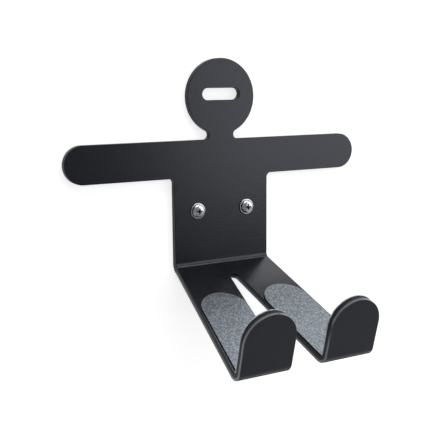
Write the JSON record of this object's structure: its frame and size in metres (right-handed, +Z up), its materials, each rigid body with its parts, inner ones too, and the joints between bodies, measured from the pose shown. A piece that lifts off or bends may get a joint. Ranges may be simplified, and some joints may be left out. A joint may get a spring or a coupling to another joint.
{
  "type": "bike wall rack",
  "caption": "Wall rack for a bicycle: a bent steel plate in the outline of a figure, with padded legs and upturned feet that carry the frame.",
  "frame": {"origin": "on the plane of the wall, midway between the two screws", "axes": "+X to the right of someone who faces the wall, -Y straight out from the wall, +Z up"},
  "size_m": [0.25, 0.1669, 0.2074],
  "materials": {
    "paint": "satin fine-textured powder coat, near black",
    "pad": "matt speckled blue-grey felted pad",
    "zinc": "bright zinc plate"
  },
  "bodies": {
    "root": {"figure_plate": "paint", "left_pad": "pad", "right_pad": "pad", "left_washer": "zinc", "right_washer": "zinc", "left_screw": "zinc", "right_screw": "zinc"}
  },
  "joints": []
}
